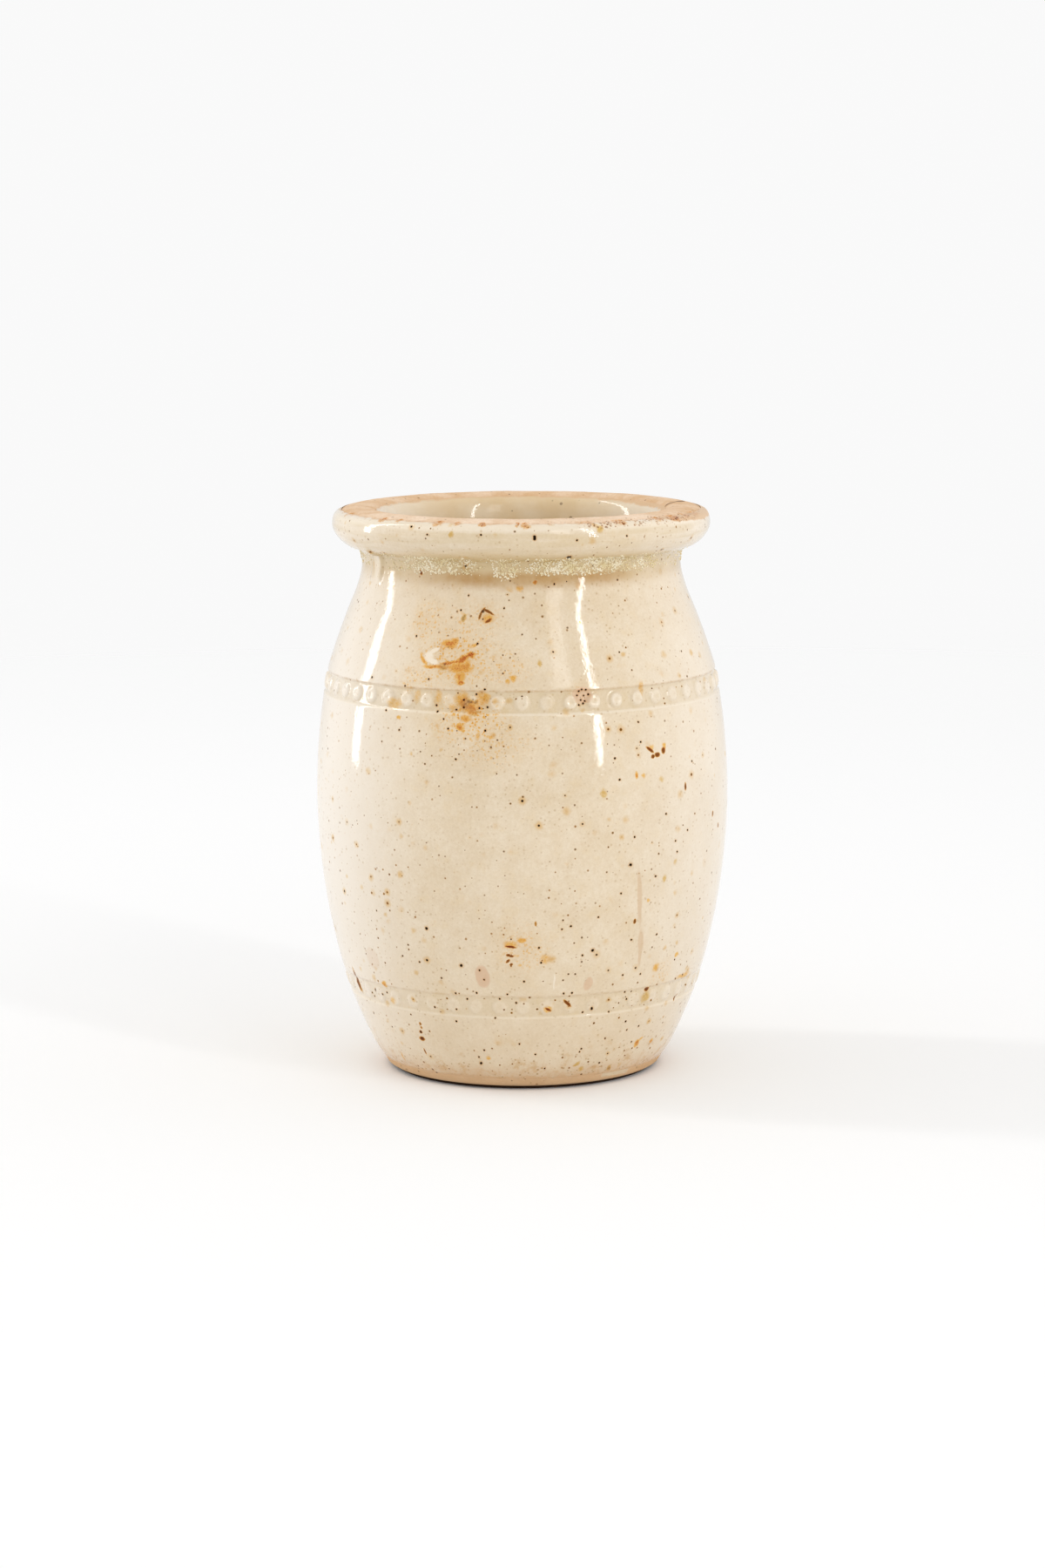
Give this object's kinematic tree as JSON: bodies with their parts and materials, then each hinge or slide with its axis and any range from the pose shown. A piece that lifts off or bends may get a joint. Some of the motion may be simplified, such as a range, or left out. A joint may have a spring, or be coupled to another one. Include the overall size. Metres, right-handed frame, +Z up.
{
  "type": "stoneware caviar pot",
  "caption": "Small barrel-shaped stoneware pot with a waisted neck, rolled bare rim, beaded bands sunk in the wall, and glaze inside and out, for keeping caviar or preserves.",
  "frame": {"origin": "middle of the foot, on the table", "axes": "+Z up along the pot's axis of turning; the side seen in the picture faces -Y"},
  "size_m": [0.0732, 0.0732, 0.1],
  "materials": {
    "bare_stoneware": "matt fired clay",
    "outer_glaze": "glossy speckled cream glaze",
    "inner_glaze": "glossy greyish cream glaze"
  },
  "bodies": {
    "root": {"stoneware_body": "bare_stoneware", "outer_glaze": "outer_glaze", "inner_glaze": "inner_glaze"}
  },
  "joints": []
}
